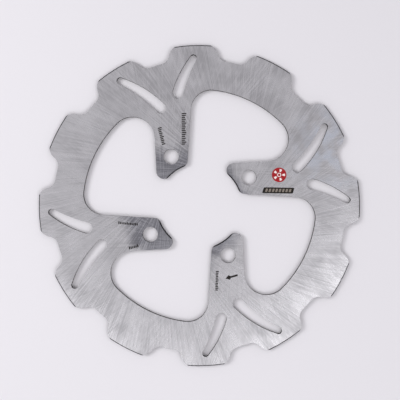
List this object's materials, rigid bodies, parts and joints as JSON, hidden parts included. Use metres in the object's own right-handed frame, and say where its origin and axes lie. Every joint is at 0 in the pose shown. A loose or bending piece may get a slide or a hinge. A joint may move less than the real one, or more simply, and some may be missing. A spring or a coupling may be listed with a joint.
{
  "type": "motorcycle brake disc",
  "caption": "Flat one-piece brake disc with a scalloped rim, pinwheel arms to the hub bolts and curved vent slots.",
  "frame": {"origin": "centre of the back face, on the wheel axis", "axes": "+Z along the wheel axis, out of the face with the badge; the first arm runs along +X, on the +Y side of the centre"},
  "size_m": [0.22, 0.22, 0.0031],
  "materials": {
    "ground_steel": "ground, fine crossing hairlines, satin",
    "red_foil": "printed glossy foil"
  },
  "bodies": {
    "root": {"brake_disc": "ground_steel", "badge": "red_foil"}
  },
  "joints": []
}
